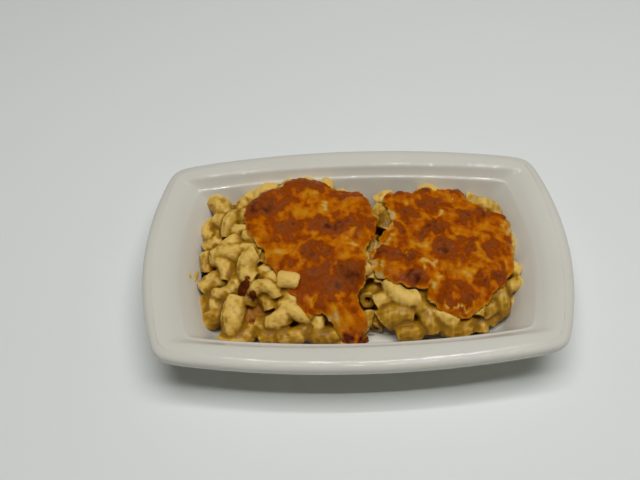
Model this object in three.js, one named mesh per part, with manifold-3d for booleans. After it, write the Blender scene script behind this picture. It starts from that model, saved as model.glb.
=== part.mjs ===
// Baked macaroni and cheese in a rectangular stoneware dish.
// Units are millimetres. X runs along the dish, +Y to its back, +Z up. The origin is on the table under
// its middle. Two portions of elbow macaroni lie side by side in the dish, each under its own sheet of
// melted, browned cheese.

import * as THREE from "three";
import { LoftGeometry } from "three/addons/geometries/LoftGeometry.js";
import { mergeVertices } from "three/addons/utils/BufferGeometryUtils.js";
import Module from "manifold-3d";

const wasm = await Module();
wasm.setup();

// ---------- Driving dimensions ----------

const DISH_HEIGHT = 40;
const FLOOR_TOP = 8;
const GAP = 0.3;

// Plan outlines of the dish: half sizes at the middle of the sides, how far each side bows in towards
// its ends, and how square the corners are.
const RIM = { halfLength: 125.6, halfWidth: 78, endBow: 13, sideBow: 10.3, squareness: 25 };
const WELL = { halfLength: 106.5, halfWidth: 64.5, endBow: 7.7, sideBow: 7, squareness: 40 };
const FOOT = { halfLength: 92, halfWidth: 50, endBow: 6, sideBow: 5, squareness: 18 };
const SIDE_STEPS = 12;

// Section of the dish, from its underside over the rim to the floor inside. Each level lies a share of the
// way from one outline to another, at a height, and is set in at the ends and at the long sides.
const SECTION = [
  [FOOT, FOOT, 0, 1.6, 8, 8], // recess inside the foot ring
  [FOOT, FOOT, 0, 0, 6.5, 6.5],
  [FOOT, FOOT, 0, 0, 0.8, 0.8],
  [FOOT, FOOT, 0, 1.2, -0.6, -0.6],
  [FOOT, WELL, 0.5, 20, -2, -0.8], // outside wall
  [WELL, RIM, 0.2, 29, 0, 1.5],
  [WELL, RIM, 0.5, 31.4, 0, 0], // underside of the rim
  [RIM, RIM, 0, 32.3, 1.4, 1.2],
  [RIM, RIM, 0, 35.5, 0, 0], // widest
  [RIM, RIM, 0, DISH_HEIGHT - 1.5, 0.9, 0.9],
  [RIM, RIM, 0, DISH_HEIGHT - 0.35, 3.4, 3.4],
  [WELL, RIM, 0.5, DISH_HEIGHT, -3, 0], // flat of the rim
  [WELL, WELL, 0, DISH_HEIGHT - 0.5, -10, -0.8], // from here the ends slope ever more steeply
  [WELL, WELL, 0, DISH_HEIGHT - 1.8, -5.6, 1],
  [WELL, WELL, 0, DISH_HEIGHT - 5.9, 1.3, 4.1], // band along the long sides
  [WELL, WELL, 0, DISH_HEIGHT - 6.3, 1.8, 5.5], // ledge along the long sides
  [WELL, WELL, 0, DISH_HEIGHT - 7.4, 3, 6.1],
  [WELL, WELL, 0, FLOOR_TOP + 16, 9.7, 10.2], // lower wall
  [WELL, WELL, 0, FLOOR_TOP + 4.4, 14.7, 15.4],
  [WELL, WELL, 0, FLOOR_TOP + 1.4, 16.5, 17.4],
  [WELL, WELL, 0, FLOOR_TOP + 0.2, 19, 20],
  [WELL, WELL, 0, FLOOR_TOP, 22, 24], // floor
];

// Elbow macaroni as cooked: length along the tube, bend in degrees, radius of the tube.
const ELBOWS = {
  elbow: { length: 20, bend: 110, radius: 4.8 },
  curl: { length: 19, bend: 160, radius: 4.5 },
  short: { length: 11, bend: 50, radius: 4.8 },
  plump: { length: 14, bend: 60, radius: 5.8 },
  fat: { length: 22, bend: 115, radius: 5.6 },
  bulky: { length: 16, bend: 55, radius: 6.4 },
  broad: { length: 18, bend: 60, radius: 7.2 },
};
const TUBE_SIDES = 8;
const TUBE_STEP_DEGREES = 26;
const TUBE_STEPS_LEAST = 3;
const BORE_RADIUS = 2.3;
const BORE_DEPTH = 5;
const BORE_OVERRUN = 1;

// Macaroni laid by rule: rows at two levels round the sides, and a grid over the bare top. Each one's
// turn, roll and tilt are drawn between limits in degrees.
const FILL_KINDS = ["elbow", "curl", "short", "elbow"];
const SIDE_SPACING = 16;
const SIDE_LEVELS = [12.9, 20.6];
const SIDE_SHIFT = [0.2, 0.8];
const SIDE_LIFT = [-0.4, 1];
const SIDE_TURN = [-45, 45];
const SIDE_ROLL = [60, 200];
const SIDE_TILT = [-12, 12];
const FILL_AREA = { left: -96, right: 100, front: -46, back: 54 };
const FILL_SPACING = 12.5;
const FILL_SHIFT = [-3, 3];
const FILL_SINK = [0, 1.5];
const FILL_TURN = [0, 360];
const FILL_ROLL = [30, 150];
const FILL_TILT = [-15, 15];
const FILL_CLEARANCE = 11;
const COVERED = 0.97;
const SEED = 4127;

// Moves tried in turn where an elbow would cross a neighbour: a share of its distance from the centre of
// its portion, and how far it is lowered.
const MOVES = [[1, 0], [1, 1.5], [0.96, 0], [0.96, 1.5], [1, 3], [0.92, 0], [0.92, 2], [0.88, 0], [0.88, 2],
  [0.84, 1], [1, 5]];

// Sheets of cheese, with the low bumps of the macaroni under them, and the cores of the two portions.
const CHEESE_THICKNESS = 3.4;
const CHEESE_EDGE = 1.6;
const CHEESE_BUMPS = { wide: 0.9, fine: 0.4 };
const SHEET_POINTS = 44;
const SHEET_SHARES = [0.06, 0.25, 0.44, 0.62, 0.78, 0.92];
const SHEET_UNDER_EDGE = 0.985;
const CORE_POINTS = 36;
const CORE_FOOT_SHARE = 0.84;
const CORE_SHARES = [0.92, 0.74, 0.54, 0.34, 0.1];
const CORE_BARE = [0.72, 0.92];
const CORE_SHOULDER = { share: 0.95, height: 0.6 };
const CORE_LOWEST = 2;
const CORE_UNDER_CHEESE = 1;
const CORE_UNDER_MACARONI = 5;
const MERGE_DISTANCE = 1e-4;

// ---------- Materials ----------

const glaze = new THREE.MeshStandardMaterial({ color: 0xd9d6c8, roughness: 0.22, metalness: 0 });
const pasta = new THREE.MeshStandardMaterial({ color: 0xd9b45e, roughness: 0.45, metalness: 0 });
const brownedCheese = new THREE.MeshStandardMaterial({ color: 0xb35a12, roughness: 0.35, metalness: 0 });

// ---------- Helpers ----------

const radians = THREE.MathUtils.degToRad;

// A closed solid through rings of points, which run counterclockwise as seen from the last ring.
// Both ends are closed by a fan on the middle of their ring.
function loft(rings) {
  const middle = (ring) => {
    const sum = ring.reduce((total, point) => total.add(point), new THREE.Vector3());
    return ring.map(() => sum.clone().divideScalar(ring.length));
  };
  const skinned = new LoftGeometry([middle(rings[0]), ...rings, middle(rings.at(-1))]);
  const bare = new THREE.BufferGeometry();
  bare.setAttribute("position", skinned.attributes.position);
  bare.setIndex(skinned.index);
  const { index, attributes } = mergeVertices(bare, MERGE_DISTANCE);
  const triangles = [];
  for (let i = 0; i < index.count; i += 3) {
    const [a, b, c] = index.array.slice(i, i + 3);
    if (a !== b && b !== c && c !== a) triangles.push(a, b, c);
  }
  return new wasm.Manifold(
    new wasm.Mesh({
      numProp: 3,
      vertProperties: attributes.position.array,
      triVerts: new Uint32Array(triangles),
    }),
  );
}

function meshOf(solid, name, material) {
  const data = solid.getMesh();
  const geometry = new THREE.BufferGeometry();
  geometry.setAttribute("position", new THREE.BufferAttribute(data.vertProperties, 3));
  geometry.setIndex(new THREE.BufferAttribute(data.triVerts, 1));
  geometry.computeVertexNormals();
  const mesh = new THREE.Mesh(geometry, material);
  mesh.name = name;
  return mesh;
}

// The largest body of a solid: loose scraps are dropped.
function mainBody(solid) {
  return solid.decompose().reduce((a, b) => (a.volume() > b.volume() ? a : b));
}

// A value read off a smooth line through knots [position, value].
function along(knots, position) {
  const last = knots.length - 1;
  if (position <= knots[0][0]) return knots[0][1];
  if (position >= knots[last][0]) return knots[last][1];
  const i = knots.findIndex((knot) => knot[0] > position) - 1;
  const share = (position - knots[i][0]) / (knots[i + 1][0] - knots[i][0]);
  return THREE.MathUtils.lerp(knots[i][1], knots[i + 1][1], share);
}

let state = SEED;
function random([low, high]) {
  state = (state * 16807) % 2147483647;
  return low + ((high - low) * state) / 2147483647;
}

// ---------- Dish ----------

// One level of the dish: a rectangle with bowed sides and rounded corners, counterclockwise from above.
function level([from, to, share, height, insetEnds, insetSides]) {
  const mix = (key) => THREE.MathUtils.lerp(from[key], to[key], share);
  const square = mix("squareness");
  const points = [];
  for (let side = 0; side < 4; side++) {
    for (let i = 0; i < SIDE_STEPS; i++) {
      const v = Math.sin((Math.PI / 2) * ((2 * i) / SIDE_STEPS - 1));
      const [a, b] = [[1, v], [-v, 1], [-1, -v], [v, -1]][side];
      const round = (Math.abs(a) ** square + Math.abs(b) ** square) ** (-1 / square);
      const x = a * round * (mix("halfLength") - insetEnds - mix("endBow") * (b * round) ** 2);
      const y = b * round * (mix("halfWidth") - insetSides - mix("sideBow") * (a * round) ** 2);
      points.push(new THREE.Vector3(x, y, height));
    }
  }
  return points;
}

function dish() {
  return loft(SECTION.map(level));
}

// ---------- Shape of the two portions ----------

// bed is the top of the macaroni, on which the cheese lies: a height over the floor that falls off
// towards the front and back (depth) and towards the ends (reach).
const LEFT = {
  name: "left",
  height: 30.5,
  depth: [[-51, 0.02], [-47, 0.14], [-42, 0.33], [-38, 0.46], [-33, 0.58], [-26, 0.7], [-18, 0.8],
    [-5, 0.89], [20, 0.97], [50, 1], [60, 0.9]],
  reach: [[-101, 0.3], [-96, 0.42], [-90, 0.58], [-82, 0.72], [-72, 0.85], [-60, 0.97], [-50, 1],
    [4, 1], [16, 0.92]],
  foot: [[-91, -20], [-84, -33], [-60, -37], [-30, -37], [-2, -36], [2, -24], [4, -5], [7, 15],
    [7, 36], [-2, 43], [-30, 48], [-60, 46], [-82, 41], [-91, 22]],
  centre: [-24, 4],
  cheese: [[-58, 44], [-66, 32], [-65, 16], [-59, 8], [-53, -1], [-54, -5], [-47, -12], [-36, -28],
    [-28, -37.5], [-20, -35.5], [-14.5, -41], [-9, -47.5], [1, -48.5], [4.8, -42], [3.8, -35],
    [0.5, -29], [3.5, -22], [5.5, -13], [6, -5], [7.5, 4], [11.5, 12], [14, 20], [12, 30.5], [9.5, 37],
    [6.5, 43], [-2, 44.5], [-12, 47], [-20, 53.5], [-30, 56.5], [-40, 54], [-47, 46.5]],
  ripple: 0,
};
const RIGHT = {
  name: "right",
  height: 27.5,
  depth: [[-50, 0.05], [-45, 0.22], [-41, 0.38], [-36, 0.56], [-28, 0.75], [-15, 0.9], [10, 1],
    [48, 1], [58, 0.85]],
  reach: [[6, 0.7], [12, 0.8], [22, 0.93], [36, 1], [80, 1], [90, 0.94], [97, 0.82], [103, 0.6]],
  foot: [[13, -32], [30, -37], [55, -37], [75, -31], [87, -20], [91, 0], [89, 22], [80, 36],
    [60, 43], [36, 44], [21, 41], [16, 25], [13, 5], [11, -18]],
  centre: [54, 4],
  cheese: [[22.5, 27], [20.5, 18.5], [15.5, 12.5], [10.5, 4], [9, -4], [11.5, -12], [17, -17],
    [27, -20.5], [34, -23], [41, -24.5], [40, -29], [46, -34], [57, -39], [66, -38.5], [73, -34],
    [80, -27], [87, -20.5], [93, -10], [94.5, 0], [95, 15], [93, 25], [84, 26.5], [76, 31], [69.5, 41],
    [63, 46], [52, 45], [44, 48], [36, 43.5], [28, 46.5], [18.5, 40]],
  ripple: 2.4,
};

function bed(portion, x, y) {
  return FLOOR_TOP + portion.height * along(portion.depth, y) * along(portion.reach, x);
}

// Low bumps of the macaroni showing through the cheese.
function ripple(portion, x, y) {
  const p = portion.ripple;
  const wide = Math.sin(0.19 * x + 0.07 * y + p) * Math.sin(0.16 * y - 0.06 * x + 1.3 * p);
  const fine = Math.sin(0.41 * x - 0.22 * y + 2 * p) * Math.sin(0.37 * y + 0.19 * x + p);
  return CHEESE_BUMPS.wide * wide + CHEESE_BUMPS.fine * fine;
}

function closedCurve(corners) {
  const points = corners.map(([x, y]) => new THREE.Vector3(x, y, 0));
  return new THREE.CatmullRomCurve3(points, true, "catmullrom", 0.5);
}

function outline(corners, count) {
  return closedCurve(corners).getSpacedPoints(count).slice(0, count);
}

// One ring of a loft over an outline drawn in towards its centre, at the height that rise gives.
function drawnIn(portion, edge, share, rise) {
  const [cx, cy] = portion.centre;
  return edge.map((point) => {
    const x = cx + share * (point.x - cx);
    const y = cy + share * (point.y - cy);
    return new THREE.Vector3(x, y, rise(x, y));
  });
}

function cheese(portion) {
  const edge = outline(portion.cheese, SHEET_POINTS);
  const under = (x, y) => bed(portion, x, y) + GAP;
  const middle = (x, y) => under(x, y) + CHEESE_EDGE;
  const over = (x, y) => under(x, y) + CHEESE_THICKNESS + ripple(portion, x, y);
  return loft([
    ...SHEET_SHARES.map((share) => drawnIn(portion, edge, share, under)),
    drawnIn(portion, edge, SHEET_UNDER_EDGE, under),
    drawnIn(portion, edge, 1, middle),
    ...SHEET_SHARES.toReversed().map((share) => drawnIn(portion, edge, share, over)),
  ]);
}

// How far out a place lies under the cheese: 0 at its centre, 1 at its edge.
function underCheese(portion, edge, x, y) {
  const [cx, cy] = portion.centre;
  const here = Math.atan2(y - cy, x - cx);
  const turn = (point) => Math.abs(Math.atan2(point.y - cy, point.x - cx) - here);
  const apart = (point) => Math.min(turn(point), 2 * Math.PI - turn(point));
  const nearest = edge.reduce((a, b) => (apart(a) < apart(b) ? a : b));
  return Math.hypot(x - cx, y - cy) / Math.hypot(nearest.x - cx, nearest.y - cy);
}

// The core that carries the macaroni showing: full height under the cheese, lower where it is bare.
function core(portion) {
  const edge = outline(portion.foot, CORE_POINTS);
  const cover = outline(portion.cheese, SHEET_POINTS);
  const top = (x, y) => {
    const bare = THREE.MathUtils.smoothstep(underCheese(portion, cover, x, y), ...CORE_BARE);
    const sunk = THREE.MathUtils.lerp(CORE_UNDER_CHEESE, CORE_UNDER_MACARONI, bare);
    return Math.max(bed(portion, x, y) - sunk, FLOOR_TOP + CORE_LOWEST);
  };
  const foot = () => FLOOR_TOP + GAP;
  const shoulder = (x, y) => THREE.MathUtils.lerp(FLOOR_TOP, top(x, y), CORE_SHOULDER.height);
  return loft([
    drawnIn(portion, edge, CORE_FOOT_SHARE, foot),
    drawnIn(portion, edge, CORE_SHOULDER.share, shoulder),
    ...CORE_SHARES.map((share) => drawnIn(portion, edge, share, top)),
  ]);
}

// ---------- Macaroni ----------

// The macaroni that show, placed by hand: kind, middle of the chord between its ends, heading of the
// chord, roll of the bulge about it (0 to the left, 90 up), tilt of the chord, and whether an end is open.
const SHOWING = {
  left: [
    ["bulky", -84, 44, 24, -60, 50],
    ["curl", -85.5, 28.5, 23.5, 72, 0],
    ["plump", -80, 30, 25, -43, 60],
    ["elbow", -74, 29, 27, -113, 120],
    ["short", -87, 18, 22, 32, 90, 10],
    ["fat", -75, 3, 27, -18, 35, 8],
    ["fat", -60, -5, 31, -94, 170, -11],
    ["short", -90, 6, 20.5, -85, 90, -20, "open"],
    ["elbow", -81, -2, 24, -57, 45],
    ["plump", -86, -9, 20.5, 30, 90, 8],
    ["curl", -78, -14, 23.5, 30, 160, 10],
    ["short", -83.5, -22, 18.5, -85, 90, -12],
    ["short", -90, -22, 15, -88, 90, -10],
    ["plump", -84, -31, 15, 31, 60, 8],
    ["broad", -72.5, -31, 19, -96, 90, -22],
    ["fat", -71, -39, 14, 14, 180, 3],
    ["short", -54, -36, 16, -11, 90, -6, "open"],
    ["curl", -54, -22, 28, -8, 60],
    ["short", -53, -24, 24, -61, 90, -16],
    ["fat", -45, -30, 20.5, -133, 30, -17],
    ["fat", -38, -38.5, 15, 12, 178, 4],
    ["fat", -20.5, -38.5, 14.3, -8, 178],
    ["short", -52, -42, 13, -2, 90],
    ["elbow", -70, -9, 23, -102, 90, -8],
    ["short", -69, 40, 29, -94, 90],
    ["short", -62, 49, 28, 19, 90],
    ["elbow", -53, 50, 29, 21, 60, 4],
    ["short", -62, 14, 32, -37, 90],
    ["short", -62, 6, 31, -14, 90],
  ],
  right: [
    ["elbow", 11.5, -17.5, 20.5, 50, -60, 0, "open"],
    ["plump", 18, -24.5, 20.5, 20, 90],
    ["fat", 28, -21, 25.5, -35, 170, -3],
    ["broad", 23, -34.5, 17, 10, 60, 6],
    ["short", 10, -34, 14, -90, 0, -5, "open"],
    ["plump", 30, -42.5, 13.5, 6, 90],
    ["plump", 41, -37, 18, -70, 90, -24],
    ["plump", 50, -36, 19, -28, 90, -10],
    ["fat", 57.5, -37, 15.5, 4, 180],
    ["short", 71, -38, 14, -92, 90, -12],
    ["short", 76, -32, 20, 28, 90, 6],
    ["short", 80, -33, 14, 33, 90, 7],
    ["elbow", 83, -25, 20, -81, 90, -25],
    ["short", 92, -18, 21.5, 24, 90, 15],
    ["short", 88, -25, 15, -39, 90, -15],
    ["short", 91, -7, 25, -32, 90, -15],
    ["elbow", 92, 11, 20, -94, 80],
    ["elbow", 81, 34, 28, -18, 80, -8],
    ["short", 19.5, 45, 28, 22, 90, 4],
    ["short", 20, 24, 31, -115, 90],
    ["short", 18, 33, 28, -58, 90, 8],
  ],
};

// An elbow with its chord along X and its bulge towards +Y.
function elbow({ length, bend, radius }, open) {
  const arc = radians(bend);
  const turn = length / arc;
  const steps = Math.max(TUBE_STEPS_LEAST, Math.round(bend / TUBE_STEP_DEGREES));
  const section = (angle, tubeRadius) =>
    Array.from({ length: TUBE_SIDES }, (_, i) => {
      const around = (2 * Math.PI * i) / TUBE_SIDES;
      const out = turn + tubeRadius * Math.cos(around);
      return new THREE.Vector3(
        out * Math.sin(angle),
        out * Math.cos(angle) - turn * Math.cos(arc / 2),
        tubeRadius * Math.sin(around),
      );
    });
  const rings = Array.from({ length: steps + 1 }, (_, i) => section(arc * (i / steps - 0.5), radius));
  const tube = loft(rings);
  if (!open) return tube;
  const past = BORE_OVERRUN / turn;
  const deep = BORE_DEPTH / turn;
  const bore = [-arc / 2 - past, -arc / 2 + deep / 2, -arc / 2 + deep].map((a) => section(a, BORE_RADIUS));
  return tube.subtract(loft(bore));
}

function placed([kind, x, y, z, heading, roll, tilt = 0, open], grow = 0) {
  const size = { ...ELBOWS[kind], radius: ELBOWS[kind].radius + grow };
  const turned = new THREE.Matrix4()
    .makeTranslation(x, y, z)
    .multiply(new THREE.Matrix4().makeRotationZ(radians(heading)))
    .multiply(new THREE.Matrix4().makeRotationY(radians(-tilt)))
    .multiply(new THREE.Matrix4().makeRotationX(radians(roll)));
  return elbow(size, open).transform(turned.elements);
}

// Macaroni by rule: rows round the sides of the portion, then a loose grid over its bare top.
function filling(portion) {
  const rows = [];
  const anyKind = () => FILL_KINDS[Math.floor(random([0, FILL_KINDS.length]))];
  const foot = closedCurve(portion.foot);
  for (const height of SIDE_LEVELS) {
    const count = Math.round(foot.getLength() / SIDE_SPACING);
    for (let i = 0; i < count; i++) {
      const share = (i + random(SIDE_SHIFT)) / count;
      const point = foot.getPointAt(share);
      const run = foot.getTangentAt(share);
      const heading = THREE.MathUtils.radToDeg(Math.atan2(run.y, run.x)) + random(SIDE_TURN);
      const place = [point.x + run.y, point.y - run.x, height + random(SIDE_LIFT)];
      rows.push([anyKind(), ...place, heading, random(SIDE_ROLL), random(SIDE_TILT)]);
    }
  }
  const cover = outline(portion.cheese, SHEET_POINTS);
  const within = outline(portion.foot, CORE_POINTS);
  for (let x = FILL_AREA.left; x < FILL_AREA.right; x += FILL_SPACING) {
    for (let y = FILL_AREA.front; y < FILL_AREA.back; y += FILL_SPACING) {
      const px = x + random(FILL_SHIFT);
      const py = y + random(FILL_SHIFT);
      const z = bed(portion, px, py) - ELBOWS.elbow.radius - random(FILL_SINK);
      const row = [anyKind(), px, py, z, random(FILL_TURN), random(FILL_ROLL), random(FILL_TILT)];
      const inFoot = underCheese(portion, within, px, py) < 1;
      if (inFoot && underCheese(portion, cover, px, py) > COVERED) rows.push(row);
    }
  }
  return rows;
}

function moved(portion, [kind, x, y, z, ...turns], [share, lowering]) {
  const [cx, cy] = portion.centre;
  return [kind, cx + share * (x - cx), cy + share * (y - cy), z - lowering, ...turns];
}

// The portion's macaroni fused to its core. An elbow that would cross a neighbour is moved or left out.
function macaroni(portion, neighbours) {
  const rows = [...SHOWING[portion.name]];
  for (const row of filling(portion)) {
    const apart = rows.map((other) => Math.hypot(other[1] - row[1], other[2] - row[2], other[3] - row[3]));
    if (Math.min(...apart) > FILL_CLEARANCE) rows.push(row);
  }
  const pieces = [core(portion)];
  for (const row of rows) {
    const fits = (place) => {
      const room = placed(place, GAP);
      return neighbours.every((other) => other.intersect(room).isEmpty());
    };
    const place = MOVES.map((move) => moved(portion, row, move)).find(fits);
    if (place) pieces.push(placed(place));
  }
  return mainBody(wasm.Manifold.union(pieces));
}

// ---------- Assembly ----------

const dishSolid = dish();
const cheeseLeft = cheese(LEFT);
const cheeseRight = cheese(RIGHT);
const macaroniLeft = macaroni(LEFT, [dishSolid, cheeseLeft, cheeseRight, core(RIGHT)]);
const macaroniRight = macaroni(RIGHT, [dishSolid, cheeseLeft, cheeseRight, macaroniLeft]);

const macAndCheese = new THREE.Group();
macAndCheese.add(meshOf(dishSolid, "dish", glaze));
macAndCheese.add(meshOf(macaroniLeft, "macaroni_left", pasta));
macAndCheese.add(meshOf(macaroniRight, "macaroni_right", pasta));
macAndCheese.add(meshOf(cheeseLeft, "cheese_left", brownedCheese));
macAndCheese.add(meshOf(cheeseRight, "cheese_right", brownedCheese));

export default macAndCheese;
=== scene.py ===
"""Baked macaroni and cheese in a rectangular stoneware dish, dressed over its solids.

Two portions of elbow macaroni lie side by side in the dish, each under its own sheet of browned cheese.
Lengths are millimetres until a mesh is made. X runs along the dish, +Y to its back and +Z up.
"""

import functools
import math
from itertools import product

import bpy
import numpy as np
from mathutils import Matrix, Vector
from mathutils.bvhtree import BVHTree
from mathutils.kdtree import KDTree


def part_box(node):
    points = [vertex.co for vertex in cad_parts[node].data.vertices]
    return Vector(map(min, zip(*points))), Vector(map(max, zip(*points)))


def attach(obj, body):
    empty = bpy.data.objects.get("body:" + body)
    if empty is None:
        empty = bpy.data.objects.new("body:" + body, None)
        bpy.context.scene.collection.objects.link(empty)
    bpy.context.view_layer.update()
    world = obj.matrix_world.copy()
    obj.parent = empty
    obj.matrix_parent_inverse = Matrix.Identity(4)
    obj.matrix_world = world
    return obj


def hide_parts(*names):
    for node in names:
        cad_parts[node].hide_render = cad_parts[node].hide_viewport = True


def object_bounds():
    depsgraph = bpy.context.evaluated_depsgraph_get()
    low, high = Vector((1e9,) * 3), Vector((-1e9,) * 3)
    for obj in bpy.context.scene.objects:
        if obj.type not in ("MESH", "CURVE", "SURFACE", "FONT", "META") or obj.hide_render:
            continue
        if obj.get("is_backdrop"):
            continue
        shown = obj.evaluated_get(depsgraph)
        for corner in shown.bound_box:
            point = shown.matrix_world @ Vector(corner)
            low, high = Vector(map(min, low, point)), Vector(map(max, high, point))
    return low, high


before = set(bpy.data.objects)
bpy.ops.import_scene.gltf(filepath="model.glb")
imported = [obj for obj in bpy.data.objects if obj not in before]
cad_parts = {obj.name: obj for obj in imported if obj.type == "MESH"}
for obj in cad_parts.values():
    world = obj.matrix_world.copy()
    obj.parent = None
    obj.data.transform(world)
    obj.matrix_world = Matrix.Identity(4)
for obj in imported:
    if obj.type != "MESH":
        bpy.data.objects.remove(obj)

bl_info = {
    "name": "Baked macaroni and cheese",
    "version": (1, 0, 0),
    "blender": (4, 5, 0),
    "location": "3D View > Sidebar > Macaroni",
    "description": "Builds a dish of baked macaroni and cheese piece by piece",
    "category": "Add Mesh",
}

MM = 0.001
CAD_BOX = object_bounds()
DISH_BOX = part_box("dish")
COARSE = 1.0


def linear(hex_colour):
    """An sRGB hex colour as linear red, green and blue."""
    channels = [int(hex_colour[i:i + 2], 16) / 255 for i in (1, 3, 5)]
    return tuple(c / 12.92 if c <= 0.04045 else ((c + 0.055) / 1.055) ** 2.4 for c in channels)


# ---------- Sizes shared with the solids ----------

DISH_HEIGHT = (DISH_BOX[1].z - DISH_BOX[0].z) / MM
LEDGE_DEPTH = 6.2
FLOOR_TOP = 8.0
# A height above everything, from which rays are cast down.
OVERHEAD = 90

# Plan outlines of the dish: half length, half width, how far the ends and the sides bow in towards the
# corners, and how square the corners are.
RIM = np.array([125.6, 78, 13, 10.3, 25])
WELL = np.array([106.5, 64.5, 7.7, 7, 40])
FOOT = np.array([92, 50, 6, 5, 18])

# Elbow macaroni as cooked: length along the tube, bend in degrees, radius of the tube.
ELBOWS = {
    "elbow": (20, 110, 4.8),
    "curl": (19, 160, 4.5),
    "short": (11, 50, 4.8),
    "plump": (14, 60, 5.8),
    "fat": (22, 115, 5.6),
    "bulky": (16, 55, 6.4),
    "broad": (18, 60, 7.2),
}

# The two portions. The bed, the top of the macaroni under the cheese, is a height over the floor that
# falls off along depth (front to back) and reach (end to end); foot and cheese are outlines in plan.
LEFT = {
    "name": "left",
    "height": 30.5,
    "depth": [(-51, 0.02), (-47, 0.14), (-42, 0.33), (-38, 0.46), (-33, 0.58), (-26, 0.7), (-18, 0.8),
              (-5, 0.89), (20, 0.97), (50, 1), (60, 0.9)],
    "reach": [(-101, 0.3), (-96, 0.42), (-90, 0.58), (-82, 0.72), (-72, 0.85), (-60, 0.97), (-50, 1),
              (4, 1), (16, 0.92)],
    "foot": [(-91, -20), (-84, -33), (-60, -37), (-30, -37), (-2, -36), (2, -24), (4, -5), (7, 15),
             (7, 36), (-2, 43), (-30, 48), (-60, 46), (-82, 41), (-91, 22)],
    "centre": (-24, 4),
    "cheese": [(-58, 44), (-66, 32), (-65, 16), (-59, 8), (-53, -1), (-54, -5), (-47, -12), (-36, -28),
               (-28, -37.5), (-20, -35.5), (-14.5, -41), (-9, -47.5), (1, -48.5), (4.8, -42), (3.8, -35),
               (0.5, -29), (3.5, -22), (5.5, -13), (6, -5), (7.5, 4), (11.5, 12), (14, 20), (12, 30.5),
               (9.5, 37), (6.5, 43), (-2, 44.5), (-12, 47), (-20, 53.5), (-30, 56.5), (-40, 54), (-47, 46.5)],
    "drape": 3.0,
    "seed": 11,
}
RIGHT = {
    "name": "right",
    "height": 27.5,
    "depth": [(-50, 0.05), (-45, 0.22), (-41, 0.38), (-36, 0.56), (-28, 0.75), (-15, 0.9), (10, 1),
              (48, 1), (58, 0.85)],
    "reach": [(6, 0.7), (12, 0.8), (22, 0.93), (36, 1), (80, 1), (90, 0.94), (97, 0.82), (103, 0.6)],
    "foot": [(13, -32), (30, -37), (55, -37), (75, -31), (87, -20), (91, 0), (89, 22), (80, 36),
             (60, 43), (36, 44), (21, 41), (16, 25), (13, 5), (11, -18)],
    "centre": (54, 4),
    "cheese": [(22.5, 27), (20.5, 18.5), (15.5, 12.5), (10.5, 4), (9, -4), (11.5, -12), (17, -17),
               (27, -20.5), (34, -23), (41, -24.5), (40, -29), (46, -34), (57, -39), (66, -38.5), (73, -34),
               (80, -27), (87, -20.5), (93, -10), (94.5, 0), (95, 15), (93, 25), (84, 26.5), (76, 31),
               (69.5, 41), (63, 46), (52, 45), (44, 48), (36, 43.5), (28, 46.5), (18.5, 40)],
    "drape": 2.0,
    "seed": 23,
}

# Macaroni placed one by one: kind, middle of the chord between its ends, heading of the chord, roll of the
# bulge about it (0 to the left, 90 up), tilt of the chord, and whether an end is open.
SHOWING = {
    "left": [
        ("bulky", -84, 44, 24, -60, 50),
        ("curl", -85.5, 28.5, 23.5, 72, 0),
        ("plump", -80, 30, 25, -43, 60),
        ("elbow", -74, 29, 27, -113, 120),
        ("short", -87, 18, 22, 32, 90, 10),
        ("fat", -75, 3, 27, -18, 35, 8),
        ("fat", -60, -5, 31, -94, 170, -11),
        ("short", -90, 6, 20.5, -85, 90, -20, "open"),
        ("elbow", -81, -2, 24, -57, 45),
        ("plump", -86, -9, 20.5, 30, 90, 8),
        ("curl", -78, -14, 23.5, 30, 160, 10),
        ("short", -83.5, -22, 18.5, -85, 90, -12),
        ("short", -90, -22, 15, -88, 90, -10),
        ("plump", -84, -31, 15, 31, 60, 8),
        ("broad", -72.5, -31, 19, -96, 90, -22),
        ("fat", -71, -39, 14, 14, 180, 3),
        ("short", -54, -36, 16, -11, 90, -6, "open"),
        ("curl", -54, -22, 28, -8, 60),
        ("short", -53, -24, 24, -61, 90, -16),
        ("fat", -45, -30, 20.5, -133, 30, -17),
        ("fat", -38, -38.5, 15, 12, 178, 4),
        ("fat", -20.5, -38.5, 14.3, -8, 178),
        ("short", -52, -42, 13, -2, 90),
        ("elbow", -70, -9, 23, -102, 90, -8),
        ("short", -69, 40, 29, -94, 90),
        ("short", -62, 49, 28, 19, 90),
        ("elbow", -53, 50, 29, 21, 60, 4),
        ("short", -62, 14, 32, -37, 90),
        ("short", -62, 6, 31, -14, 90),
    ],
    "right": [
        ("elbow", 11.5, -17.5, 20.5, 50, -60, 0, "open"),
        ("plump", 18, -24.5, 20.5, 20, 90),
        ("fat", 28, -21, 25.5, -35, 170, -3),
        ("broad", 23, -34.5, 17, 10, 60, 6),
        ("short", 10, -34, 14, -90, 0, -5, "open"),
        ("plump", 30, -42.5, 13.5, 6, 90),
        ("plump", 41, -37, 18, -70, 90, -24),
        ("plump", 50, -36, 19, -28, 90, -10),
        ("fat", 57.5, -37, 15.5, 4, 180),
        ("short", 71, -38, 14, -92, 90, -12),
        ("short", 76, -32, 20, 28, 90, 6),
        ("short", 80, -33, 14, 33, 90, 7),
        ("elbow", 83, -25, 20, -81, 90, -25),
        ("short", 92, -18, 21.5, 24, 90, 15),
        ("short", 88, -25, 15, -39, 90, -15),
        ("short", 91, -7, 25, -32, 90, -15),
        ("elbow", 92, 11, 20, -94, 80),
        ("elbow", 81, 34, 28, -18, 80, -8),
        ("short", 19.5, 45, 28, 22, 90, 4),
        ("short", 20, 24, 31, -115, 90),
        ("short", 18, 33, 28, -58, 90, 8),
    ],
}

# Macaroni that the cheese leaves bare, and how far round its middle it shows.
BARED = {
    "left": [("short", -39.5, -16.5, 33.2, -8, 90)],
    "right": [],
}
BARED_REACH = 7.5

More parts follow.
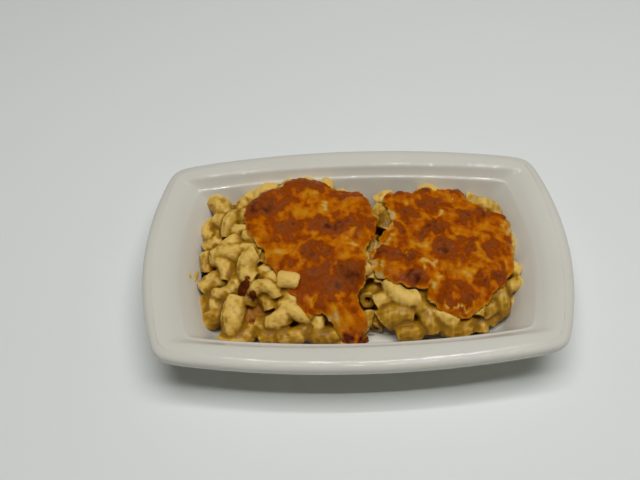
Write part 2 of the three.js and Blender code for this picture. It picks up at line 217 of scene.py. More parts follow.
# Places in plan that no macaroni laid by rule comes near, and how near.
KEPT_CLEAR = [(8, -22), (9, -34)]
CLEAR_REACH = 9

# Bits of cheese on the macaroni: middle in plan, half length, half width, half height, heading, browning.
BITS = [
    (-66, -18.6, 4.6, 2.6, 0.7, 65, 0.96),
    (-63.6, -14.8, 1.3, 0.9, 0.4, 10, 0.8),
    (-60.6, -24.4, 1.9, 1.1, 0.5, -10, 0.9),
    (-62, -34.5, 1.5, 0.9, 0.5, 20, 0.7),
    (3.6, -46.6, 3, 1.6, 0.8, 30, 0.9),
]

# Darker patches on the macaroni: toasted stains, and painted shade in the gap between the two portions (the
# three near x = 9 to 17): middle in plan, radius, depth of colour.
STAINS_AND_GAP_SHADE = [(-60.5, -31, 5, 0.5), (-62.5, -25, 3.5, 0.4), (-73.5, -8.5, 4, 0.4), (-57, -20, 3, 0.2),
          (-73, 43, 5, 0.2), (-83, 12, 4, 0.15), (62, -36, 4, 0.2), (17, 23, 6, 0.45), (16, 33, 6, 0.25),
          (9, 2, 6, 0.2)]

# Sauce smeared on the dish: middle, half length, half width, heading and tint. Where the middle has a
# height, the smear lies along the left wall, and otherwise on the floor. The darker films on the floor at
# the front are partly sauce and partly painted shadow under the macaroni there.
SMEARS = [
    (-97, -5, 23, 4.6, 1.7, -15, 0),
    (-99.5, -7.5, 27.5, 1.5, 1, 20, 0),
    (40, -47, 0, 13, 3.6, 2, 0.7),
    (64, -43.5, 0, 9, 3, -4, 0.6),
    (3.5, -47, 0, 8, 2.4, 4, 0.6),
]

# ---------- Browning of the cheese ----------

# Patches on each sheet: middle x and y, half length, half width, heading of the length, and browning added:
# -0.5 leaves pale cheese, -0.2 bright orange, and 0.3 to 0.6 bakes brown to nearly black.
PATCHES = {
    "left": [
        (-29, 48.5, 15, 6, 0, 0.3),
        (-54, 33.5, 16, 8, -6, 0.34),
        (-30, 17, 24, 6, 4, 0.26),
        (-5, 20, 11, 5, 8, 0.36),
        (-23.5, 2.5, 9, 4.5, -6, 0.34),
        (-40, -6.5, 7, 4.5, 0, 0.26),
        (-4, -15.5, 9, 8.5, 0, 0.42),
        (-21, -20, 15, 8, 10, 0.24),
        (-16, -29, 11, 4, 0, 0.2),
        (-5, 38, 5, 3, 0, 0.45),
        (7.5, 41, 5, 3, 0, 0.35),
        (13, 14, 3.5, 10, 0, 0.36),
        (-63, 33, 4, 5, 0, 0.25),
        (-26, 28.5, 11, 6, -5, -0.2),
        (-6, 7, 9, 6.5, -15, -0.2),
        (-42, -1, 10, 5, 20, -0.14),
        (-4, -26, 6, 3, 0, -0.16),
        (-10, -38, 9, 5, -30, -0.2),
        (-17, 31, 3, 3, 0, -0.34),
        (-1.5, 4.5, 2, 3, 0, -0.35),
        (-26, 40, 3, 2.3, 0, -0.22),
        (12.5, 20, 2.2, 2, 0, -0.4),
        (-24.5, -28, 3, 1.6, 0, -0.35),
        (-11, -28, 2.2, 2, 0, -0.3),
        (-4, -47.5, 8, 2.6, 0, 0.75),
        (-25.5, -36.5, 4, 1.4, -20, -0.32),
        (-17, -38, 5, 1.3, -40, -0.32),
        (-11, -45, 3.5, 1.3, -45, -0.3),
        (-59, 2, 3, 7, 30, -0.16),
    ],
    "right": [
        (30, 45, 4, 3.2, 0, 0.35),
        (44.5, 45.5, 4, 2.6, 0, 0.45),
        (66, 43, 3.5, 2.6, 0, 0.4),
        (79.5, 26, 3.2, 3.2, 0, 0.4),
        (94, 22, 2.5, 5, -20, 0.4),
        (47, 35, 8, 4, 6, 0.34),
        (33, 26, 6, 4.5, 0, 0.2),
        (26.5, 16, 3.2, 4.4, 0, 0.4),
        (47, 13.3, 9, 4.6, 15, 0.42),
        (70, 21, 9, 4.5, 0, 0.26),
        (52.5, 0, 7, 7.5, 0, 0.36),
        (68, 1.5, 4.2, 5.4, 0, 0.38),
        (81.5, -1, 5, 5.5, 0, 0.3),
        (18.5, 0, 8, 6, -10, 0.38),
        (32, -2.5, 5, 3.6, -35, 0.4),
        (33, -17, 5.4, 4, 0, 0.55),
        (82, -17, 5, 3, 20, 0.42),
        (74.5, -21, 3.6, 2.6, 0, 0.4),
        (57.5, -31, 8, 2.8, 5, 0.4),
        (60, -37.5, 5, 1.8, 0, 0.35),
        (62, -23, 7, 5, 0, 0.2),
        (44, -28.5, 3.6, 3, 0, 0.18),
        (38, 4, 8, 2.6, 15, -0.2),
        (66, -16, 7, 4.4, 10, -0.2),
        (74.5, 5, 3.6, 5.5, 0, -0.16),
        (60, 9.5, 8, 3, 10, -0.12),
        (24, 25.5, 2.6, 4.6, 30, -0.5),
        (18, 8.5, 5, 1.6, 20, -0.5),
        (10.5, -1, 1.6, 6, 0, -0.55),
        (50.5, 24, 2.6, 2.4, 0, -0.4),
        (32, -0.5, 2, 1.3, 0, -0.5),
        (41.5, -8, 3.8, 2.2, 10, -0.5),
        (38.5, -14.5, 1.6, 3.4, 0, -0.5),
        (44.5, -22, 2.6, 3, 0, -0.5),
        (58.5, -34.3, 6.5, 1.2, 3, -0.6),
        (90, 14, 3.4, 3, 0, -0.42),
        (89, -11.5, 2.4, 3.4, 0, -0.35),
        (15.5, -11, 2.6, 2.2, 0, -0.5),
        (12.5, 7, 5.5, 1.5, 58, -0.45),
        (12.5, -13, 4.5, 1.6, -35, -0.4),
        (22, 22, 1.8, 4.5, -10, -0.45),
    ],
}

# Blisters raised on each sheet: middle x and y, radius, height.
BLISTERS = {
    "left": [(-4, -15.5, 9, 2.2), (-29, 49, 13, 1.7), (-54, 34, 11, 1.4), (-5, 38, 4.5, 1.6),
             (-23.5, 2.5, 7, 1.5), (-40, -7, 6, 1.3), (6, 41, 5, 1.4), (-36, 17, 9, 0.9)],
    "right": [(30, 45, 4, 1.8), (44.5, 45.5, 4.4, 2.2), (66, 43, 3.8, 1.9), (79.5, 26, 3.6, 2),
              (47, 13.5, 7, 1.4), (52.5, 0, 7, 1.1), (68, 1.5, 4.5, 1.5), (33, -17, 5, 1.8),
              (18.5, 0, 6, 1.2), (82, -17, 4, 1.5), (94, 22, 3, 1.4), (33, -2.5, 4, 1.4),
              (26.5, 16, 3.4, 1.3)],
}


# ---------- Number helpers ----------

def waves(points, wavelength, seed):
    """A smooth uneven field of about unit size over points, with bumps about a wavelength apart."""
    count = 14
    chance = np.random.default_rng(seed)
    ways = chance.normal(size=(count, 3))
    ways /= np.linalg.norm(ways, axis=1)[:, None]
    lengths = wavelength * chance.uniform(0.7, 1.4, count)
    phases = chance.uniform(0, 2 * math.pi, count)
    angle = 2 * math.pi * (points @ (ways / lengths[:, None]).T) + phases
    return np.sin(angle).sum(axis=1) / math.sqrt(count / 2)


def smooth_step(value, low, high):
    """0 up to low and 1 from high on, rising smoothly between."""
    share = np.clip((value - low) / (high - low), 0, 1)
    return share * share * (3 - 2 * share)


def spots(x, y, z=0.0):
    """Points at places in plan, at one height or at a height each."""
    return np.stack(np.broadcast_arrays(x, y, z), axis=-1)


def circle(count):
    """The cosines and the sines of even steps round a circle."""
    around = 2 * math.pi * np.arange(count) / count
    return np.cos(around), np.sin(around)


def turned_to(heading):
    """The rotation to a heading in plan, in degrees, for points in rows."""
    return np.array(Matrix.Rotation(math.radians(heading), 3, "Z")).T


def closed_curve(corners, count=220):
    """count points evenly spaced along a smooth closed curve through the corners, in plan."""
    corners = np.array(corners, float)
    fine = np.arange(0, 1, 1 / 24)[:, None]
    before, start, end, after = (np.roll(corners, shift, axis=0)[:, None] for shift in (1, 0, -1, -2))
    bend = (end - before) * 0.5, (after - start) * 0.5
    run = ((2 * fine**3 - 3 * fine**2 + 1) * start + (fine**3 - 2 * fine**2 + fine) * bend[0]
           + (3 * fine**2 - 2 * fine**3) * end + (fine**3 - fine**2) * bend[1]).reshape(-1, 2)
    looped = np.vstack([run, run[:1]])
    length = np.concatenate([[0], np.cumsum(np.linalg.norm(np.diff(looped, axis=0), axis=1))])
    places = np.arange(count) * length[-1] / count
    return np.stack([np.interp(places, length, looped[:, axis]) for axis in (0, 1)], axis=1)


def bed(portion, x, y):
    """Top of the macaroni of a portion, above the table."""
    depth, reach = np.array(portion["depth"]), np.array(portion["reach"])
    return FLOOR_TOP + portion["height"] * np.interp(y, *depth.T) * np.interp(x, *reach.T)


def outwardness(portion, edge, x, y):
    """0 at the centre of a portion, 1 on the given outline round it."""
    centre = np.array(portion["centre"])
    away = edge - centre
    turns = np.arctan2(away[:, 1], away[:, 0])
    order = np.argsort(turns)
    here = np.arctan2(y - centre[1], x - centre[0])
    reach = np.interp(here, turns[order], np.linalg.norm(away, axis=1)[order], period=2 * math.pi)
    return np.hypot(x - centre[0], y - centre[1]) / reach


# ---------- Mesh helpers ----------

def grid_faces(rows, columns):
    """Quads between rows of points that close round on themselves, row 0 first."""
    i, j = np.meshgrid(np.arange(rows - 1), np.arange(columns), indexing="ij")
    k = (j + 1) % columns
    quads = [i * columns + j, i * columns + k, (i + 1) * columns + k, (i + 1) * columns + j]
    return np.stack(quads, axis=-1).reshape(-1, 4).tolist()


def closed_shell(rings):
    """Points and faces of a closed shell through equal rings of points, with a fan closing each end."""
    rings = np.asarray(rings)
    rows, columns = rings.shape[:2]
    bottom = rows * columns
    points = np.vstack([rings.reshape(-1, 3), rings[0].mean(axis=0), rings[-1].mean(axis=0)])
    faces = grid_faces(rows, columns)
    for j in range(columns):
        k = (j + 1) % columns
        faces.append((bottom, k, j))
        faces.append((bottom + 1, bottom - columns + j, bottom - columns + k))
    return points, faces


def joined(shells):
    """The points and faces of several shells as one set."""
    points, faces, first = [], [], 0
    for shell, corners in shells:
        points.append(shell)
        faces += [[first + i for i in face] for face in corners]
        first += len(shell)
    return np.vstack(points), faces


def make_mesh(name, points, faces):
    """A mesh from points in millimetres."""
    mesh = bpy.data.meshes.new(name)
    mesh.from_pydata((points * MM).tolist(), [], faces)
    mesh.update()
    return mesh


def placed_piece(mesh, material, slot, *nodes):
    """Puts a finished mesh in the scene as a smooth piece of the part that stands for the nodes."""
    mesh.materials.clear()
    mesh.materials.append(material)
    mesh.shade_smooth()
    piece = bpy.data.objects.new(mesh.name, mesh)
    bpy.context.scene.collection.objects.link(piece)
    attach(piece, "root")
    if nodes:
        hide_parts(*nodes)


def modified(mesh, kind, **settings):
    """The mesh after one modifier."""
    carrier = bpy.data.objects.new("carrier", mesh)
    bpy.context.scene.collection.objects.link(carrier)
    modifier = carrier.modifiers.new("change", kind)
    for name, value in settings.items():
        setattr(modifier, name, value)
    shown = carrier.evaluated_get(bpy.context.evaluated_depsgraph_get())
    changed = bpy.data.meshes.new_from_object(shown)
    name = mesh.name
    bpy.data.objects.remove(carrier)
    bpy.data.meshes.remove(mesh)
    changed.name = name
    return changed


def values_of(rows, name, kind=float, width=3):
    """One value of every point or edge of a mesh, in rows of the width."""
    values = np.empty(len(rows) * width, dtype=kind)
    rows.foreach_get(name, values)
    return values.reshape(-1, width)


def points_of(mesh):
    """The points of a mesh, in millimetres."""
    return values_of(mesh.vertices, "co") / MM


def move_points(mesh, points):
    """Moves the points of a mesh to places in millimetres."""
    mesh.vertices.foreach_set("co", (points * MM).ravel())
    mesh.update()


def relaxed(mesh, values, times):
    """Values at the points of a mesh, each drawn half way to the mean of its neighbours, so many times."""
    one, two = values_of(mesh.edges, "vertices", np.int32, 2).T
    size = len(values)
    met = np.maximum(np.bincount(one, minlength=size) + np.bincount(two, minlength=size), 1)
    columns = values.reshape(size, -1).T.copy()
    for _ in range(times):
        for column in columns:
            total = np.bincount(one, column[two], size) + np.bincount(two, column[one], size)
            column += 0.5 * (total / met - column)
    return columns.T.reshape(values.shape)


def hollowness(mesh, times):
    """How far each point lies in a crease, 0 to 1, or on a ridge, down to -1."""
    here = points_of(mesh)
    rise = ((relaxed(mesh, here, times) - here) * values_of(mesh.vertex_normals, "vector")).sum(axis=1)
    return relaxed(mesh, np.clip(rise / DEEP_CREASE, -1, 1), 2)


def paint(mesh, name, values):
    """Stores one number at each point for the material to read."""
    mesh.attributes.new(name, "FLOAT", "POINT").data.foreach_set("value", np.asarray(values, np.float32))


# ---------- Materials ----------

def feed(tree, node, inputs):
    """Gives the inputs of a node their values or links."""
    for key, value in inputs.items():
        if isinstance(value, bpy.types.NodeSocket):
            tree.links.new(value, node.inputs[key])
        else:
            node.inputs[key].default_value = value


def add(tree, kind, inputs=None, stops=None, **settings):
    """Adds a shader node with its settings, its input values or links, and the stops of a colour ramp."""
    node = tree.nodes.new(kind)
    for name, value in settings.items():
        setattr(node, name, value)
    feed(tree, node, inputs or {})
    for i, (position, colour) in enumerate(stops or []):
        stop = node.color_ramp.elements[i] if i < 2 else node.color_ramp.elements.new(position)
        stop.position, stop.color = position, (*colour, 1)
    return node


def new_material(name):
    """A new material, with its node tree and its surface shader."""
    material = bpy.data.materials.new(name)
    material.use_nodes = True
    return material, material.node_tree, material.node_tree.nodes["Principled BSDF"]


def ivory_glazed_stoneware(colour):
    """Stoneware, pressed and fired under an ivory gloss glaze."""
    # The glaze gives an even, warm white with sharp reflections, and lies in very shallow waves.
    material, tree, surface = new_material("ivory glazed stoneware")
    where = add(tree, "ShaderNodeTexCoord").outputs["Object"]
    cloud = add(tree, "ShaderNodeTexNoise", {"Vector": where, "Scale": 1 / 0.06, "Detail": 2.0})
    tone = add(tree, "ShaderNodeValToRGB", {"Fac": cloud.outputs["Fac"]},
               stops=[(0.3, [c * 0.965 for c in colour]), (0.7, colour)])
    swell = add(tree, "ShaderNodeTexNoise", {"Vector": where, "Scale": 1 / 0.011, "Detail": 1.0})
    relief = add(tree, "ShaderNodeBump",
                 {"Height": swell.outputs["Fac"], "Strength": 0.05, "Distance": 0.0003})
    feed(tree, surface, {"Base Color": tone.outputs["Color"], "Normal": relief.outputs["Normal"],
                         "Roughness": 0.05, "IOR": 1.5})
    return material


def sauced_pasta(pale, deep, toasted, stained):
    """Semolina pasta, boiled soft and coated with cheese sauce."""
    # Light sinks a little way into it and the sauce gives a soft wet sheen. The yellow deepens with thicker
    # sauce and with painted shade low in the heap, in creases and between the portions; ridges get paler as
    # painted light.
    material, tree, surface = new_material("sauced pasta")
    where = add(tree, "ShaderNodeTexCoord").outputs["Object"]
    tint = add(tree, "ShaderNodeAttribute", attribute_name="tint").outputs["Fac"]
    blotch = add(tree, "ShaderNodeTexNoise",
                 {"Vector": where, "Scale": 1 / 0.007, "Detail": 3.0, "Roughness": 0.5})
    mixed = add(tree, "ShaderNodeMath", {0: blotch.outputs["Fac"], 1: 0.35, 2: tint},
                operation="MULTIPLY_ADD")
    # Deep, toasted and stained stand for thick sauce, toasting and fat, and also for painted shade; pale also
    # for painted light on ridges.
    tone = add(tree, "ShaderNodeValToRGB", {"Fac": mixed.outputs["Value"]},
               stops=[(0.12, pale), (0.94, stained), (0.5, deep), (0.78, toasted)])
    grain = add(tree, "ShaderNodeTexNoise", {"Vector": where, "Scale": 1 / 0.002, "Detail": 5.0})
    relief = add(tree, "ShaderNodeBump",
                 {"Height": grain.outputs["Fac"], "Strength": 0.5, "Distance": 0.0003})
    wet = add(tree, "ShaderNodeMapRange", {"Value": blotch.outputs["Fac"], "To Min": 0.25, "To Max": 0.5})
    feed(tree, surface, {
        "Base Color": tone.outputs["Color"], "Roughness": wet.outputs["Result"],
        "Normal": relief.outputs["Normal"], "IOR": 1.45, "Specular IOR Level": 0.2,
        "Subsurface Weight": 0.3, "Subsurface Radius": (1.0, 0.7, 0.25), "Subsurface Scale": 0.003,
        "Coat Normal": relief.outputs["Normal"], "Coat Weight": 0.3, "Coat Roughness": 0.15})
    return material


def baked_cheddar(colours):
    """Cheddar, melted over the macaroni and browned under the grill, in colours for the places below."""
    # Browning runs from pale to nearly black and is broken by fine darker freckles. Fat gives oily drops.
    material, tree, surface = new_material("baked cheddar")
    where = add(tree, "ShaderNodeTexCoord").outputs["Object"]
    browning = add(tree, "ShaderNodeAttribute", attribute_name="browning").outputs["Fac"]
    mottle = add(tree, "ShaderNodeTexNoise",
                 {"Vector": where, "Scale": 1 / 0.0045, "Detail": 7.0, "Roughness": 0.72})
    shift = add(tree, "ShaderNodeMath", {0: mottle.outputs["Fac"], 1: -0.5}, operation="ADD")
    mixed = add(tree, "ShaderNodeMath", {0: shift.outputs["Value"], 1: 0.72, 2: browning},
                operation="MULTIPLY_ADD")
    places = (0.0, 1.0, 0.14, 0.36, 0.54, 0.72)
    tone = add(tree, "ShaderNodeValToRGB", {"Fac": mixed.outputs["Value"]}, stops=zip(places, colours))
    grain = add(tree, "ShaderNodeTexNoise", {"Vector": where, "Scale": 1 / 0.0016, "Detail": 4.0})
    height = add(tree, "ShaderNodeMath", {0: grain.outputs["Fac"], 1: 0.4, 2: mixed.outputs["Value"]},
                 operation="MULTIPLY_ADD")
    relief = add(tree, "ShaderNodeBump",
                 {"Height": height.outputs["Value"], "Strength": 0.8, "Distance": 0.0012})
    gloss = add(tree, "ShaderNodeMapRange", {"Value": mottle.outputs["Fac"], "To Min": 0.25, "To Max": 0.55})
    drops = add(tree, "ShaderNodeTexNoise", {"Vector": where, "Scale": 1 / 0.003, "Detail": 2.0})
    fat = add(tree, "ShaderNodeMapRange",
              {"Value": drops.outputs["Fac"], "From Min": 0.52, "From Max": 0.6, "To Max": 0.8})
    feed(tree, surface, {
        "Base Color": tone.outputs["Color"], "Roughness": gloss.outputs["Result"],
        "Normal": relief.outputs["Normal"], "IOR": 1.46, "Specular IOR Level": 0.05,
        "Subsurface Weight": 0.08, "Subsurface Radius": (1.0, 0.45, 0.1), "Subsurface Scale": 0.0015,
        "Coat Normal": relief.outputs["Normal"], "Coat Weight": fat.outputs["Result"],
        "Coat Roughness": 0.08})
    return material


def white_card(colour):
    """Matt white card, calendered smooth, under the dish."""
    # It scatters light evenly and shows only a faint cloudiness.
    material, tree, surface = new_material("white card")
    where = add(tree, "ShaderNodeTexCoord").outputs["Object"]
    cloud = add(tree, "ShaderNodeTexNoise", {"Vector": where, "Scale": 1 / 0.2, "Detail": 1.0})
    tone = add(tree, "ShaderNodeValToRGB", {"Fac": cloud.outputs["Fac"]},
               stops=[(0.2, [c * 0.985 for c in colour]), (0.8, colour)])
    feed(tree, surface, {"Base Color": tone.outputs["Color"], "Roughness": 0.75})
    return material


# ---------- Settings ----------

class DishSettings(bpy.types.PropertyGroup):
    height: bpy.props.FloatProperty(
        name="Height", description="From the table to the top of the rim",
        default=DISH_HEIGHT * MM, unit="LENGTH")
    ledge_depth: bpy.props.FloatProperty(
        name="Ledge depth", description="From the top of the rim down to the ledge",
        default=LEDGE_DEPTH * MM, unit="LENGTH")
    side_steps: bpy.props.IntProperty(
        name="Side steps", description="Points along each side of every level", default=56, min=8)
    glaze: bpy.props.FloatVectorProperty(
        name="Glaze", description="Colour of the glaze", default=linear("#DCD9CD"), subtype="COLOR", size=3)


class MacaroniSettings(bpy.types.PropertyGroup):
    bore: bpy.props.FloatProperty(
        name="Bore radius", description="Radius of the hole in a cooked elbow",
        default=0.0022, unit="LENGTH")
    sauce: bpy.props.FloatProperty(
        name="Sauce fillet", description="How far sauce rounds the creases", default=0.0004, unit="LENGTH")
    grain: bpy.props.FloatProperty(
        name="Grain", description="Size of the cells that the heap is fused from",
        default=0.00045, unit="LENGTH")
    spacing: bpy.props.FloatProperty(
        name="Spacing", description="Between macaroni laid by rule", default=0.0092, unit="LENGTH")
    # Pale also serves as painted light on ridges; deep and toasted also serve as painted shade low in the
    # heap and in creases, and stained as painted shade between the portions.
    pale: bpy.props.FloatVectorProperty(
        name="Pale", description="Colour of thinly coated pasta",
        default=linear("#E8C164"), subtype="COLOR", size=3)
    deep: bpy.props.FloatVectorProperty(
        name="Deep", description="Colour of thick sauce", default=linear("#B0821C"), subtype="COLOR", size=3)
    toasted: bpy.props.FloatVectorProperty(
        name="Toasted", description="Colour of toasted sauce",
        default=linear("#865C0C"), subtype="COLOR", size=3)
    stained: bpy.props.FloatVectorProperty(
        name="Stained", description="Colour where fat has run",
        default=linear("#A2681E"), subtype="COLOR", size=3)


class CheeseSettings(bpy.types.PropertyGroup):
    thickness: bpy.props.FloatProperty(
        name="Thickness", description="Of the melted sheet", default=0.003, unit="LENGTH")
    lip: bpy.props.FloatProperty(
        name="Lip", description="Thickness of the sheet at its edge", default=0.0014, unit="LENGTH")
    cream: bpy.props.FloatVectorProperty(
        name="Cream", description="Colour of pale sauce", default=linear("#CCA866"), subtype="COLOR", size=3)
    yellow: bpy.props.FloatVectorProperty(
        name="Yellow", description="Colour of barely melted cheese",
        default=linear("#D08E14"), subtype="COLOR", size=3)
    orange: bpy.props.FloatVectorProperty(
        name="Orange", description="Colour of melted cheese",
        default=linear("#C26702"), subtype="COLOR", size=3)
    amber: bpy.props.FloatVectorProperty(
        name="Amber", description="Colour of lightly browned cheese",
        default=linear("#943E00"), subtype="COLOR", size=3)
    brown: bpy.props.FloatVectorProperty(
        name="Brown", description="Colour of browned cheese",
        default=linear("#904818"), subtype="COLOR", size=3)
    burnt: bpy.props.FloatVectorProperty(
        name="Burnt", description="Colour of burnt cheese",
        default=linear("#561E08"), subtype="COLOR", size=3)


class StageSettings(bpy.types.PropertyGroup):
    floor: bpy.props.FloatVectorProperty(
        name="Floor", description="Colour of the floor", default=linear("#EDF0ED"), subtype="COLOR", size=3)
    lamp_height: bpy.props.FloatProperty(
        name="Lamp height", description="Of the lamps above the floor", default=1.3, unit="LENGTH")
    lamp_power: bpy.props.FloatProperty(
        name="Lamp power", description="Of both rows of lamps", default=5.6, unit="POWER")
    panel_power: bpy.props.FloatProperty(
        name="Panel power", description="Of the soft panel overhead", default=8.4, unit="POWER")
    side_power: bpy.props.FloatProperty(
        name="Side power", description="Of each soft panel beside the dish", default=0.2, unit="POWER")
    fill: bpy.props.FloatProperty(
        name="Fill", description="Strength of the light from all round", default=0.004, min=0)


# ---------- Dish ----------

def level(plan, height, steps):
    """One level of the dish: a rectangle with bowed sides and rounded corners."""
    half_length, half_width, end_bow, side_bow, square = plan
    v = np.sin(math.pi / 2 * (2 * np.arange(steps) / steps - 1))
    one = np.ones(steps)
    a = np.concatenate([one, -v, -one, v])
    b = np.concatenate([v, one, -v, -one])
    reach = (np.abs(a) ** square + np.abs(b) ** square) ** (-1 / square)
    x = a * reach * (half_length - end_bow * (b * reach) ** 2)
    y = b * reach * (half_width - side_bow * (a * reach) ** 2)
    return spots(x, y, height)


def wall_rows(top, ledge):
    """The inside of the dish from the rim down to the floor. A row has two plans and the share of the
    second, the height, and how far the ends and the sides lie inside that plan."""
    levels = [
        (top - 0.1, -12.4, -2.6),
        (top - 0.4, -10.2, -0.9),
        (top - 0.9, -8.1, 0.4),
        (top - 2.1, -4.8, 1.3),
        (top - 3.4, -2.3, 2.1),
        (top - ledge + 0.5, 1.1, 3.8),
        (top - ledge + 0.05, 1.6, 4.5),
        (top - ledge - 0.15, 1.85, 5.4),
        (top - ledge - 1.2, 3, 6.1),
        (top - 11.5, 6.65, 8.05),
        (FLOOR_TOP + 16, 9.7, 10.2),
        (FLOOR_TOP + 10.5, 12.4, 12.66),
        (FLOOR_TOP + 4.4, 14.7, 15.4),
        (FLOOR_TOP + 1.4, 16.5, 17.4),
        (FLOOR_TOP + 0.2, 19, 20),
        (FLOOR_TOP, 22, 24),
    ]
    return [(WELL, RIM, 0.5, top, -3, 0)] + [(WELL, WELL, 0, *row) for row in levels]


def outside_rows(top):
    """The outside of the dish from the foot ring up to the rim, in rows of the same kind."""
    return [
        (FOOT, FOOT, 0, 1.6, 8, 8),
        (FOOT, FOOT, 0, 0, 6.5, 6.5),
        (FOOT, FOOT, 0, 0, 0.8, 0.8),
        (FOOT, FOOT, 0, 1.2, -0.6, -0.6),
        (FOOT, WELL, 0.5, 20, -2, -0.8),
        (WELL, RIM, 0.2, 29, 0, 1.5),
        (WELL, RIM, 0.5, 31.4, 0, 0),
        (RIM, RIM, 0, 32, 2.4, 2),
        (RIM, RIM, 0, 33, 0.3, 0.3),
        (RIM, RIM, 0, 36.2, 0, 0),
        (RIM, RIM, 0, top - 1.8, 0.6, 0.6),
        (RIM, RIM, 0, top - 0.7, 2.2, 2.2),
        (RIM, RIM, 0, top - 0.2, 4.2, 4.2),
    ]


def plans_of(rows):
    """Rows as numbers: the five of a plan and the height."""
    return np.array([[*(start + share * (end - start) - (inset_ends, inset_sides, 0, 0, 0)), height]
                     for start, end, share, height, inset_ends, inset_sides in rows])


def eased(rows, times):
    """Rows with every corner of the section cut off and cut again, which rounds it."""
    for _ in range(times):
        near = 0.75 * rows[:-1] + 0.25 * rows[1:]
        far = 0.25 * rows[:-1] + 0.75 * rows[1:]
        between = np.stack([near, far], axis=1).reshape(-1, rows.shape[1])
        rows = np.vstack([rows[:1], between, rows[-1:]])
    return rows


class MACARONI_OT_dish(bpy.types.Operator):
    """Builds the glazed dish"""
    bl_idname = "macaroni.dish"
    bl_label = "Dish"

    def execute(self, context):
        sizes = context.scene.macaroni_dish
        top = sizes.height / MM
        rows = eased(plans_of(outside_rows(top) + wall_rows(top, sizes.ledge_depth / MM)), 2)
        rings = [level(row[:5], row[5], sizes.side_steps) for row in rows]
        mesh = make_mesh("dish_glazed", *closed_shell(rings))
        placed_piece(mesh, ivory_glazed_stoneware(sizes.glaze), "glazed_stoneware", "dish")
        return {"FINISHED"}


def kept_inside(points, clearance):
    """Points drawn in where they would cross the wall or floor of the dish."""
    inside = plans_of(wall_rows(DISH_HEIGHT, LEDGE_DEPTH))[::-1]
    size = [np.interp(points[:, 2], inside[:, 5], inside[:, i]) for i in range(4)]
    x_most = size[0] - size[2] * (points[:, 1] / size[1]) ** 2 - clearance
    y_most = size[1] - size[3] * (points[:, 0] / size[0]) ** 2 - clearance
    held = points.copy()
    held[:, 0] = np.clip(points[:, 0], -x_most, x_most)
    held[:, 1] = np.clip(points[:, 1], -y_most, y_most)
    held[:, 2] = np.maximum(points[:, 2], FLOOR_TOP + clearance)
    return held


# ---------- Macaroni ----------

TUBE_SIDES = 18
TUBE_STEPS = 9
# Depths of the holes in the ends of an elbow, where they are drawn and where an end is open.
HOLES = [1.0, 1.8, 3.2, 5.0]
OPEN_HOLES = (8, 8)

# Elbows laid by rule: the kinds they are drawn from, the heights of the layers round the foot and how many
# lie in one for the spacing, how far others lie off their grid, and how far apart and how deep under the
# bed they lie under the cheese, where the top is bare, and in a second layer below the bare ones.
KINDS = ["elbow", "curl", "short", "elbow", "short"]
WALL_LAYERS = (12.9, 17.5, 22)
WALL_DENSITY = 1.55
WALL_APART = 9.2
OFF_GRID = 2.5
COVERED_APART = 7.2
COVERED_DEPTH = (2.6, 4.4)
BARE_APART = 8.8
BARE_DEPTH = (0.4, 2.6)
SECOND_APART = 7
SECOND_DEPTH = (4, 6)

# How far the macaroni stays from the dish, how far it may press into the sheet over it, and the most
# triangles of a heap.
DISH_CLEARANCE = 0.15
PRESSED_IN = 0.5
HEAP_TRIANGLES = 185000

# Depth of the pasta's colour: the range of the elbows' own tones, the painted shade that the bottom of the
# heap and a crease add (a ridge takes as much off, as painted light), the rise that counts as a full crease,
# and the most before stains.
ELBOW_TONES = (0.02, 0.36)
LOW_PAINTED_SHADE = 0.42
CREASE_PAINTED_SHADE = 0.45
DEEP_CREASE = 0.4
DEEPEST_TONE_AND_SHADE = 0.55


def elbow_cut(sizes):
    """The bore, the sauce's fillet and the spacing of the elbows, in millimetres."""
    return sizes.bore / MM, sizes.sauce / MM, sizes.spacing / MM


def elbow_rings(length, bend, radius, bore, holes, squash):
    """Rings of points round an elbow with its chord along X and its bulge towards +Y.
    Each end has a hole of the depth that holes gives."""
    arc = math.radians(bend)
    turn = length / arc
    start, end = -arc / 2, arc / 2
    lip = 0.5 / turn
    first = holes[0] / turn
    last = holes[1] / turn
    # Angles along the bend and radii: up the first hole, over its rounded lip, along the outside and back in.
    rings = [(start + first, 0), (start + first, 0.8 * bore), (start + lip, bore), (start, bore + 0.4),
             (start, radius - 0.6), (start + lip, radius)]
    rings += [(angle, radius) for angle in np.linspace(start, end, TUBE_STEPS)[1:-1]]
    rings += [(end - lip, radius), (end, radius - 0.6), (end, bore + 0.4), (end - lip, bore),
              (end - last, 0.8 * bore), (end - last, 0)]
    angles, radii = np.array(rings).T[:, :, None]
    cosines, sines = circle(TUBE_SIDES)
    out = turn + radii * squash * cosines
    return spots(out * np.sin(angles), out * np.cos(angles) - turn * math.cos(arc / 2),
                 radii / squash * sines)


def elbow_shell(row, bore, fatter, chance):
    """Points and faces of one elbow where it lies, and points along its middle."""
    kind, x, y, z, heading, roll = row[:6]
    tilt = row[6] if len(row) > 6 else 0
    opened = len(row) > 7
    length, bend, radius = ELBOWS[kind]
    holes = OPEN_HOLES if opened else chance.choice(HOLES, 2)
    radius = radius * chance.uniform(0.96, 1.05) + fatter
    bore = bore * chance.uniform(0.75, 1.1) - fatter
    squash = chance.uniform(0.9, 1.06)
    rings = elbow_rings(length, bend, radius, bore, np.minimum(holes, 0.45 * length), squash)
    lying = Matrix.Translation((x, y, z))
    for turn, axis in ((heading, "Z"), (-tilt, "Y"), (roll, "X")):
        lying = lying @ Matrix.Rotation(math.radians(turn), 4, axis)
    lying = np.array(lying)
    points, middle = (part @ lying[:3, :3].T + lying[:3, 3]
                      for part in (rings.reshape(-1, 3), rings[4:-4].mean(axis=1)))
    return points, grid_faces(*rings.shape[:2]), middle


